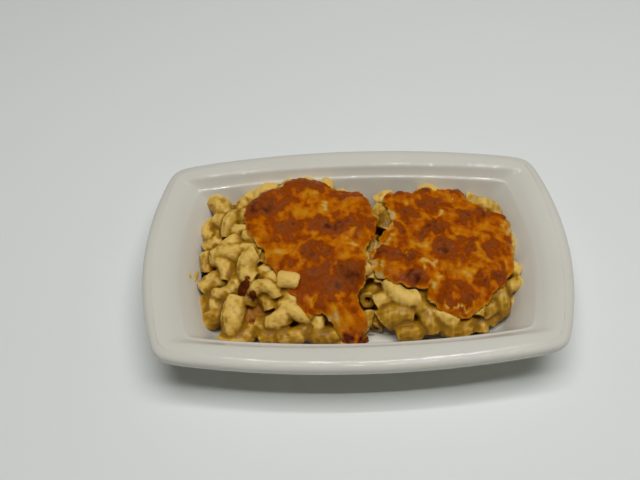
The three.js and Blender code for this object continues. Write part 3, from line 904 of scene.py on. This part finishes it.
def wall_layers(portion, foot, spacing, chance):
    """Elbows in layers round the foot of a portion, up to its bed."""
    for height in WALL_LAYERS:
        count = round(len(foot) * WALL_DENSITY / spacing)
        for place in (np.arange(count) + chance.uniform(0.2, 0.8, count)) / count:
            index = int(place * len(foot))
            here = foot[index]
            run = foot[(index + 1) % len(foot)] - here
            heading = math.degrees(math.atan2(run[1], run[0])) + chance.uniform(-45, 45)
            out = np.array([run[1], -run[0]]) / np.linalg.norm(run)
            row = (str(chance.choice(KINDS)), *(here + out), height + chance.uniform(-0.4, 1), heading,
                   chance.uniform(60, 200), chance.uniform(-12, 12))
            if height + 3 < bed(portion, *here):
                yield row


def scattered(portion, edge, foot, spacing, chance, covered, bare):
    """An elbow for each cell of a grid over a portion, sunk under the bed by a depth between the limits
    for covered or for bare places, with how far out it is on the way to the edge and to the foot."""
    both = np.vstack([edge, foot])
    columns, rows = (np.arange(*ends, spacing) for ends in zip(both.min(axis=0), both.max(axis=0)))
    for x, y in product(columns, rows):
        x += chance.uniform(-OFF_GRID, OFF_GRID)
        y += chance.uniform(-OFF_GRID, OFF_GRID)
        kind = str(chance.choice(KINDS))
        to_edge, to_foot = outwardness(portion, edge, x, y), outwardness(portion, foot, x, y)
        depth = chance.uniform(*(covered if to_edge < 1 else bare))
        row = (kind, x, y, float(bed(portion, x, y)) - ELBOWS[kind][2] - depth, chance.uniform(0, 360),
               chance.uniform(30, 150), chance.uniform(-15, 15))
        yield row, to_edge, to_foot


@functools.lru_cache
def heap_rows(side, spacing):
    """Every elbow of a portion: those listed, those laid by rule round the sides and over the
    top, and those in a second layer below the bare ones."""
    portion = PORTIONS[side]
    chance = np.random.default_rng(portion["seed"])
    rows = list(SHOWING[side])
    edge = closed_curve(portion["cheese"])
    foot = closed_curve(portion["foot"])

    def lay(row, clearance):
        apart = min(math.dist(row[1:4], other[1:4]) for other in rows)
        if apart > clearance and min(math.dist(row[1:3], place) for place in KEPT_CLEAR) > CLEAR_REACH:
            rows.append(row)

    for row in wall_layers(portion, foot, spacing, chance):
        lay(row, WALL_APART)
    place = portion, edge, foot, spacing, chance
    for row, to_edge, to_foot in scattered(*place, COVERED_DEPTH, BARE_DEPTH):
        if to_edge < 1 or to_foot < 1.02:
            lay(row, COVERED_APART if to_edge < 1 else BARE_APART)
    for row, to_edge, to_foot in scattered(*place, SECOND_DEPTH, SECOND_DEPTH):
        if to_edge > 0.95 and to_foot < 0.97 and row[3] > FLOOR_TOP + 3:
            lay(row, SECOND_APART)
    return rows


def core_rings(portion):
    """The sauce and macaroni in the middle of a portion, below the elbows that show."""
    foot = closed_curve(portion["foot"], 140)
    edge = closed_curve(portion["cheese"])
    centre = np.array(portion["centre"])

    def ring(share, height):
        x, y = (centre + share * (foot - centre)).T
        sunk = 1.5 + 5 * smooth_step(outwardness(portion, edge, x, y), 0.78, 0.98)
        top = np.maximum(bed(portion, x, y) - sunk, FLOOR_TOP + 2)
        return spots(x, y, FLOOR_TOP + height * (top - FLOOR_TOP))

    low = [ring(0.97, 0.02), ring(0.99, 0.3), ring(1, 0.6), ring(0.97, 0.85)]
    return low + [ring(share, 1) for share in np.linspace(0.93, 0.03, 24)]


@functools.lru_cache
def heap_shells(side, bore, fatter, spacing):
    """The elbows of a portion as points and faces, and each elbow's middle."""
    chance = np.random.default_rng(PORTIONS[side]["seed"] + 1)
    shells = [elbow_shell(row, bore, fatter, chance) for row in heap_rows(side, spacing)]
    return joined([shell[:2] for shell in shells]), [shell[2] for shell in shells]


def fused_heap(side, sizes):
    """The macaroni of a portion, fused with its sauce into one mesh."""
    portion = PORTIONS[side]
    cut = elbow_cut(sizes)
    bore, fillet = cut[:2]
    elbows, middles = heap_shells(side, *cut)
    chance = np.random.default_rng(portion["seed"] + 2)
    bared = [elbow_shell(row, bore, fillet, chance) for row in BARED[side]]
    shells = [elbows, *(shell[:2] for shell in bared), closed_shell(core_rings(portion))]
    mesh = make_mesh("macaroni_" + side + "_sauced", *joined(shells))
    mesh = modified(mesh, "REMESH", mode="VOXEL", voxel_size=sizes.grain * COARSE, adaptivity=0)
    # The steps of the cells are smoothed away, and shallow dents about 8 and 3 mm apart are laid over.
    here = relaxed(mesh, points_of(mesh), int(6 / COARSE))
    move_points(mesh, here)
    uneven = 0.16 * waves(here, 8, portion["seed"]) + 0.08 * waves(here, 3, portion["seed"] + 5)
    here = here + values_of(mesh.vertex_normals, "vector") * (uneven - fillet)[:, None]
    here = kept_under(here, side, drape(side, *cut))
    move_points(mesh, kept_inside(here, DISH_CLEARANCE))
    mesh = modified(mesh, "DECIMATE", ratio=min(1, HEAP_TRIANGLES / (2 * len(mesh.polygons))))
    paint(mesh, "tint", heap_tint(mesh, portion, [*middles, *(shell[2] for shell in bared)]))
    return mesh


def kept_under(points, side, laid):
    """Points pressed down where they would come through the sheet, but for the elbows that it leaves bare."""
    portion = PORTIONS[side]
    x, y, z = points.T
    cover = outwardness(portion, closed_curve(portion["cheese"]), x, y) < 1
    for row in BARED[side]:
        cover &= np.hypot(x - row[1], y - row[2]) > BARED_REACH
    held = points.copy()
    held[:, 2] = np.where(cover, np.minimum(z, read_off(*laid, x, y) + PRESSED_IN), z)
    return held


def heap_tint(mesh, portion, middles):
    """How deep yellow the pasta is: one tone for each elbow, deeper with painted shade low down and in the
    creases, paler with painted light on ridges, and darker in stains and in painted shade between the
    portions."""
    chance = np.random.default_rng(portion["seed"] + 3)
    tones = chance.uniform(*ELBOW_TONES, len(middles))
    tree = KDTree(sum(map(len, middles)))
    whose = np.repeat(np.arange(len(middles)), [len(middle) for middle in middles])
    for index, point in enumerate(np.vstack(middles)):
        tree.insert(point, index)
    tree.balance()
    here = points_of(mesh)
    x, y, z = here.T
    own = np.array([tones[whose[tree.find(point)[1]]] for point in here])
    # Painted shade: darker towards the bottom of the heap and in creases; ridges take tone off as painted
    # light.
    low = 1 - smooth_step(z, FLOOR_TOP + 6, FLOOR_TOP + 25)
    tint = relaxed(mesh, own + LOW_PAINTED_SHADE * low, 4) + CREASE_PAINTED_SHADE * hollowness(mesh, 20)
    tint = np.minimum(tint, DEEPEST_TONE_AND_SHADE)
    # Toasted stains, and painted shade in the gap between the portions.
    for px, py, radius, depth in STAINS_AND_GAP_SHADE:
        tint += depth * np.exp(-((((x - px) ** 2 + (y - py) ** 2) / radius**2) ** 1.5))
    return tint


class MACARONI_OT_macaroni(bpy.types.Operator):
    """Builds both portions of sauced macaroni"""
    bl_idname = "macaroni.heaps"
    bl_label = "Macaroni"

    def execute(self, context):
        sizes = context.scene.macaroni_pasta
        material = sauced_pasta(sizes.pale, sizes.deep, sizes.toasted, sizes.stained)
        for side in PORTIONS:
            mesh = fused_heap(side, sizes)
            placed_piece(mesh, material, "sauced_macaroni", "macaroni_" + side)
        return {"FINISHED"}


# ---------- Cheese ----------

# The grid on which the sheets are draped, how far a sheet sinks below the bed between elbows, and the
# least and the most that it lies above the bed once it is softened.
DRAPE_STEP = 1.0
DRAPE_SAG = 3.5
DRAPE_RANGE = (-1.3, 1.9)

# A sheet: points round it, rings inside its margin, the rings of its margin by their distance in from the
# edge, how far its edge is torn in and out, and the gap under it.
SHEET_COLUMNS = 360
SHEET_RINGS = 52
EDGE_RINGS = np.array([0, 0.12, 0.35, 0.7, 1.1, 1.6, 2.2, 3, 4, 5.2, 6.6, 8.2, 10])
TEAR = 0.8
SHEET_GAP = 0.3

# Browning of a sheet: its plain tone, how much paler its rim and its underside are, the tones at the middle
# of its underside and of its top, and the most browning of a patch that counts as cream, which lies raised.
PLAIN_TONE = 0.42
RIM_PALER = 0.24
UNDER_PALER = 0.25
MIDDLE_TONES = (0.3, 0.5)
CREAM_TONE = -0.3


def blurred(field, radius):
    """A grid of heights softened over the radius, which counts steps of the grid."""
    reach = int(3 * radius) + 1
    weights = np.exp(-0.5 * (np.arange(-reach, reach + 1) / radius) ** 2)
    weights /= weights.sum()
    padded = np.pad(field, reach, mode="edge")
    for axis in (0, 1):
        padded = np.apply_along_axis(np.convolve, axis, padded, weights, "same")
    return padded[reach:-reach, reach:-reach]


@functools.lru_cache
def heap_tree(side, bore, fatter, spacing):
    """The elbows of a portion, ready for rays."""
    points, faces = heap_shells(side, bore, fatter, spacing)[0]
    return BVHTree.FromPolygons(points.tolist(), faces)


def landing(tree, x, y, lowest):
    """The height at which something dropped at a place lands, never under the lowest."""
    hit = tree.ray_cast(Vector((x, y, OVERHEAD)), Vector((0, 0, -1)))[0]
    return max(hit.z, lowest) if hit else lowest


@functools.lru_cache
def drape(side, bore, fatter, spacing):
    """The height at which a limp sheet lies on the macaroni, as a grid, with the grid's corner."""
    portion = PORTIONS[side]
    edge = np.array(portion["cheese"])
    low, high = edge.min(axis=0) - 8, edge.max(axis=0) + 8
    xs, ys = (np.arange(*ends, DRAPE_STEP) for ends in zip(low, high))
    tree = heap_tree(side, bore, fatter, spacing)
    top = bed(portion, *np.meshgrid(xs, ys, indexing="ij"))
    heights = np.array([[landing(tree, x, y, top[i, j] - DRAPE_SAG) for j, y in enumerate(ys)]
                        for i, x in enumerate(xs)])
    crest = heights
    for shift, axis in product((-2, -1, 1, 2), (0, 1)):
        crest = np.maximum(crest, np.roll(heights, shift, axis))
    soft = portion["drape"]
    lying = 0.35 * blurred(heights, soft) + 0.65 * blurred(crest, soft * 0.8)
    return top + np.clip(lying - top, *DRAPE_RANGE), low


def read_off(field, low, x, y):
    """Heights of a grid at places between its points."""
    i = np.clip((x - low[0]) / DRAPE_STEP, 0, field.shape[0] - 1.001)
    j = np.clip((y - low[1]) / DRAPE_STEP, 0, field.shape[1] - 1.001)
    i0, j0 = i.astype(int), j.astype(int)
    u, v = i - i0, j - j0
    return ((1 - u) * (1 - v) * field[i0, j0] + u * (1 - v) * field[i0 + 1, j0]
            + (1 - u) * v * field[i0, j0 + 1] + u * v * field[i0 + 1, j0 + 1])


def patch_field(patches, x, y, seed):
    """The sum of soft uneven patches at places in plan."""
    flat = spots(x, y)
    x = x + 1.6 * waves(flat, 9, seed) + 0.6 * waves(flat, 3.5, seed + 1)
    y = y + 1.6 * waves(flat, 9, seed + 2) + 0.6 * waves(flat, 3.5, seed + 3)
    total = np.zeros_like(x)
    for px, py, half_length, half_width, heading, amount in patches:
        turn = math.radians(heading)
        along = ((x - px) * math.cos(turn) + (y - py) * math.sin(turn)) / half_length
        across = ((y - py) * math.cos(turn) - (x - px) * math.sin(turn)) / half_width
        total += amount * np.exp(-((along**2 + across**2) ** 1.6))
    return total


def ragged(edge, seed, size):
    """A closed outline pushed in and out along itself."""
    run = np.roll(edge, -1, axis=0) - np.roll(edge, 1, axis=0)
    out = np.stack([run[:, 1], -run[:, 0]], axis=1) / np.linalg.norm(run, axis=1)[:, None]
    flat = spots(*edge.T)
    push = (0.6 * waves(flat, 9, seed) + 0.45 * waves(flat, 4, seed + 1)
            + 0.25 * waves(flat, 1.8, seed + 2))
    return edge + out * (size * push)[:, None]


def cheese_sheet(side, sizes, laid):
    """The melted sheet of a portion, draped over its macaroni, in rings from the edge to the centre."""
    portion = PORTIONS[side]
    seed = portion["seed"] + 40
    thickness, lip = sizes.thickness / MM, sizes.lip / MM
    centre = np.array(portion["centre"])
    smooth_edge = closed_curve(portion["cheese"], int(SHEET_COLUMNS / COARSE))
    torn_edge = ragged(smooth_edge, seed, TEAR)
    reach = np.linalg.norm(smooth_edge - centre, axis=1)
    shares = [1 - ring / reach for ring in EDGE_RINGS]
    shares += [shares[-1] * share for share in np.linspace(1, 0.02, int(SHEET_RINGS / COARSE))[1:]]
    creamy = [patch for patch in PATCHES[side] if patch[5] < CREAM_TONE]

    top, bottom, brown = [], [], []
    for share in shares:
        pull = share[:, None] ** 6
        plan = centre + share[:, None] * ((1 - pull) * smooth_edge + pull * torn_edge - centre)
        x, y = plan.T
        flat = spots(x, y)
        inward = (1 - share) * reach
        settled = smooth_step(inward, 0, 5)
        bulk = lip + (thickness - lip) * smooth_step(inward, 0, 9)
        rounding = np.sqrt(1 - (1 - np.minimum(inward / 1.1, 1)) ** 2)
        rise = sum(height * np.exp(-(((x - bx) ** 2 + (y - by) ** 2) / radius**2) ** 1.6)
                   for bx, by, radius, height in BLISTERS[side])
        uneven = (0.26 * waves(flat, 9, seed + 7) + 0.2 * waves(flat, 4, seed + 8)
                  + 0.08 * waves(flat, 2, seed + 9))
        cream = np.clip(-patch_field(creamy, x, y, seed + 20), 0, 0.5)
        middle = read_off(*laid, x, y) + SHEET_GAP + bulk / 2
        lift = rise * settled + uneven * (0.4 + 0.6 * settled) + 0.8 * cream
        top.append(spots(x, y, middle + lift + bulk / 2 * rounding))
        bottom.append(spots(x, y, middle + lift * 0.5 - bulk / 2 * rounding))
        mottle = 0.06 * waves(flat, 13, seed + 30) + 0.05 * waves(flat, 5, seed + 31) + 0.05 * uneven
        paler = RIM_PALER * (1 - smooth_step(inward, 0, 1.8))
        brown.append(patch_field(PATCHES[side], x, y, seed + 20) + PLAIN_TONE + mottle - paler)
    mesh = make_mesh("cheese_" + side + "_browned", *closed_shell(bottom[::-1] + top[1:]))
    under = np.concatenate(brown[::-1]) - UNDER_PALER
    paint(mesh, "browning", np.concatenate([under, np.concatenate(brown[1:]), MIDDLE_TONES]))
    return mesh


class MACARONI_OT_cheese(bpy.types.Operator):
    """Builds both sheets of browned cheese"""
    bl_idname = "macaroni.cheese"
    bl_label = "Cheese"

    def execute(self, context):
        sizes = context.scene.macaroni_cheese
        cut = elbow_cut(context.scene.macaroni_pasta)
        material = baked_cheddar(
            [sizes.cream, sizes.burnt, sizes.yellow, sizes.orange, sizes.amber, sizes.brown])
        for side in PORTIONS:
            mesh = cheese_sheet(side, sizes, drape(side, *cut))
            placed_piece(mesh, material, "browned_cheese", "cheese_" + side)
        return {"FINISHED"}


# ---------- Bits and smears ----------

LUMP_SIDES = 24
# The rings of a lump, as angles above its middle, from nearly the lowest point to nearly the highest.
LUMP_LEVELS = np.linspace(-1.5, 1.5, 13)
# A smear from its underside, a little below the glaze, to its top: share of its outline and height.
SMEAR_SECTION = [(0.1, -0.3), (1, -0.3), (1, 0.04), (0.94, 0.2), (0.8, 0.34), (0.5, 0.46), (0.05, 0.5)]


def lump_rings(row, tree, seed):
    """Rings round one bit of cheese that lies on what is under it."""
    x, y, half_length, half_width, half_height, heading = row[:6]
    cosines, sines = circle(LUMP_SIDES)
    ball = np.concatenate([spots(cosines * math.cos(level), sines * math.cos(level), math.sin(level))
                           for level in LUMP_LEVELS])
    ball *= (1 + 0.2 * waves(ball, 1.6, seed) + 0.14 * waves(ball, 0.7, seed + 1))[:, None]
    lump = ball * (half_length, half_width, half_height) @ turned_to(heading) + (x, y, 0.1 * half_height)
    for point in lump:
        point[2] += landing(tree, point[0], point[1], FLOOR_TOP)
    return lump.reshape(len(LUMP_LEVELS), LUMP_SIDES, 3)


def smear_rings(row, seed):
    """Rings round one thin film of sauce on the wall or the floor of the dish; on the floor at the front the
    film also stands in for painted shadow.
    """
    x, y, z, half_length, half_width, heading = row[:6]
    blot = spots(*circle(2 * LUMP_SIDES))
    blot *= (1 + 0.14 * waves(blot, 1.6, seed) + 0.05 * waves(blot, 0.7, seed + 1))[:, None]
    along, across, _ = (blot * (half_length, half_width, 0) @ turned_to(heading)).T
    rings = []
    for share, height in SMEAR_SECTION:
        u, v = share * along, share * across
        # A wall smear starts well outside the wall, which draws it in to lie along itself.
        spread = spots(2 * x, y + u, z + v) if z else spots(x + u, y + v)
        rings.append(kept_inside(spread, height))
    return rings


def toned_piece(name, shells, attribute, rows, material, slot):
    """Puts closed shells in the scene as one piece, each in the tone at the end of its row."""
    mesh = make_mesh(name, *joined([closed_shell(rings) for rings in shells]))
    paint(mesh, attribute, np.repeat([row[-1] for row in rows], len(mesh.vertices) // len(rows)))
    placed_piece(mesh, bpy.data.materials[material], slot)


class MACARONI_OT_bits(bpy.types.Operator):
    """Builds the bits of browned cheese and the smears of sauce, the darker of which paint the shadow on the
    floor at the front
    """
    bl_idname = "macaroni.bits"
    bl_label = "Bits and smears"

    def execute(self, context):
        tree = heap_tree("left", *elbow_cut(context.scene.macaroni_pasta))
        lumps = [lump_rings(row, tree, seed) for seed, row in enumerate(BITS)]
        toned_piece("cheese_bits", lumps, "browning", BITS, "baked cheddar", "browned_cheese")
        # Smears of sauce on the wall, and darker films on the floor at the front as painted shadow under the
        # macaroni.
        smears = [smear_rings(row, seed) for seed, row in enumerate(SMEARS, 50)]
        toned_piece("sauce_smears_and_shadow", smears, "tint", SMEARS, "sauced pasta", "sauced_macaroni")
        return {"FINISHED"}


# ---------- Stage ----------

# The camera, with its angles in degrees and its lens and sensor in millimetres.
CAMERA_TARGET = Vector((-20.71, 7.04, 40)) * MM
CAMERA_DISTANCE = 474.18 * MM
CAMERA_AZIMUTH = 1.55
CAMERA_ELEVATION = 54.86
CAMERA_ROLL = -3.08
CAMERA_LENS = 45
CAMERA_SENSOR = 36

# The card and the lamps, in metres.
CARD_HALF = 1.5
PANEL_SIZE = (1.2, 0.46)
PANEL_X = 0.12
PANEL_Y = -0.03
SIDE_SIZE = (0.5, 0.5)
SIDE_X = 0.7
SIDE_Z = 0.45
LAMPS = 25
LAMP_SPACING = 0.038
LAMP_SIZE = (0.024, 0.008)
LAMP_ROWS = (-0.24, 0.18)


def camera_looking():
    """The camera above the front of the dish."""
    azimuth, elevation = math.radians(CAMERA_AZIMUTH), math.radians(CAMERA_ELEVATION)
    back = Vector((math.sin(azimuth) * math.cos(elevation), -math.cos(azimuth) * math.cos(elevation),
                   math.sin(elevation)))
    camera = bpy.data.objects.new("camera", bpy.data.cameras.new("camera"))
    camera.data.lens = CAMERA_LENS
    camera.data.sensor_width = CAMERA_SENSOR
    camera.data.clip_start = 0.01
    roll = Matrix.Rotation(math.radians(CAMERA_ROLL), 3, "Z")
    turned = (-back).to_track_quat("-Z", "Y").to_matrix() @ roll
    camera.matrix_world = Matrix.Translation(CAMERA_TARGET + CAMERA_DISTANCE * back) @ turned.to_4x4()
    return camera


def area_lamp(name, place, size, power):
    """A rectangular lamp that faces down."""
    light = bpy.data.lights.new(name, "AREA")
    light.shape = "RECTANGLE"
    light.size, light.size_y = size
    light.energy = power
    lamp = bpy.data.objects.new(name, light)
    lamp.location = place
    return lamp


def card_floor(colour):
    """The white card that the dish stands on."""
    half = CARD_HALF
    mesh = bpy.data.meshes.new("floor")
    corners = [(-half, -half, 0), (half, -half, 0), (half, half, 0), (-half, half, 0)]
    mesh.from_pydata(corners, [], [(0, 1, 2, 3)])
    mesh.materials.append(white_card(colour))
    return bpy.data.objects.new("floor", mesh)


def all_lamps(sizes):
    """The soft panels overhead and beside the dish, seen in no reflection, and two rows of small lamps."""
    height = sizes.lamp_height
    lamps = [area_lamp("panel", (PANEL_X, PANEL_Y, height + 0.02), PANEL_SIZE, sizes.panel_power)]
    for side in (-1, 1):
        lamps.append(area_lamp("side", (side * SIDE_X, 0, SIDE_Z), SIDE_SIZE, sizes.side_power))
        lamps[-1].rotation_euler.y = side * math.pi / 2
    for lamp in lamps:
        lamp.visible_glossy = False
    power = sizes.lamp_power / LAMPS / len(LAMP_ROWS)
    for y, i in product(LAMP_ROWS, range(LAMPS)):
        x = PANEL_X + (i - (LAMPS - 1) / 2) * LAMP_SPACING
        lamps.append(area_lamp("lamp", (x, y, height), LAMP_SIZE, power))
    return lamps


class MACARONI_OT_stage(bpy.types.Operator):
    """Sets the floor, the lights and the camera"""
    bl_idname = "macaroni.stage"
    bl_label = "Stage"

    def execute(self, context):
        sizes = context.scene.macaroni_stage
        scene = context.scene
        floor = card_floor(sizes.floor)
        scene.collection.objects.link(floor)
        floor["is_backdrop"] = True
        for lamp in all_lamps(sizes):
            scene.collection.objects.link(lamp)
        world = bpy.data.worlds.new("light all round")
        world.use_nodes = True
        feed(world.node_tree, world.node_tree.nodes["Background"],
             {"Color": (*linear("#F4F8F8"), 1), "Strength": sizes.fill})
        scene.world = world
        camera = camera_looking()
        scene.collection.objects.link(camera)
        scene.camera = camera
        scene.view_settings.view_transform = "Standard"
        return {"FINISHED"}


# ---------- Add-on ----------

PORTIONS = {"left": LEFT, "right": RIGHT}
SETTINGS = {
    "macaroni_dish": DishSettings,
    "macaroni_pasta": MacaroniSettings,
    "macaroni_cheese": CheeseSettings,
    "macaroni_stage": StageSettings,
}
OPERATORS = [
    MACARONI_OT_stage,
    MACARONI_OT_dish,
    MACARONI_OT_macaroni,
    MACARONI_OT_cheese,
    MACARONI_OT_bits,
]


class MACARONI_PT_pieces(bpy.types.Panel):
    """Lists the pieces of the dish of macaroni"""
    bl_idname = "MACARONI_PT_pieces"
    bl_label = "Macaroni and cheese"
    bl_space_type = "VIEW_3D"
    bl_region_type = "UI"
    bl_category = "Macaroni"

    def draw(self, context):
        for operator in OPERATORS:
            self.layout.operator(operator.bl_idname)


def register():
    for kind in (*SETTINGS.values(), *OPERATORS, MACARONI_PT_pieces):
        bpy.utils.register_class(kind)
    for name, group in SETTINGS.items():
        setattr(bpy.types.Scene, name, bpy.props.PointerProperty(type=group))


def unregister():
    for name in SETTINGS:
        delattr(bpy.types.Scene, name)
    for kind in (MACARONI_PT_pieces, *reversed(OPERATORS), *SETTINGS.values()):
        bpy.utils.unregister_class(kind)


def main():
    register()
    bpy.ops.macaroni.stage()
    bpy.ops.macaroni.dish()
    bpy.ops.macaroni.heaps()
    bpy.ops.macaroni.cheese()
    bpy.ops.macaroni.bits()
    boxes = {"cad": CAD_BOX, "visual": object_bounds()}
    {name: [list(corner) for corner in box] for name, box in boxes.items()}


if __name__ == "__main__":
    main()
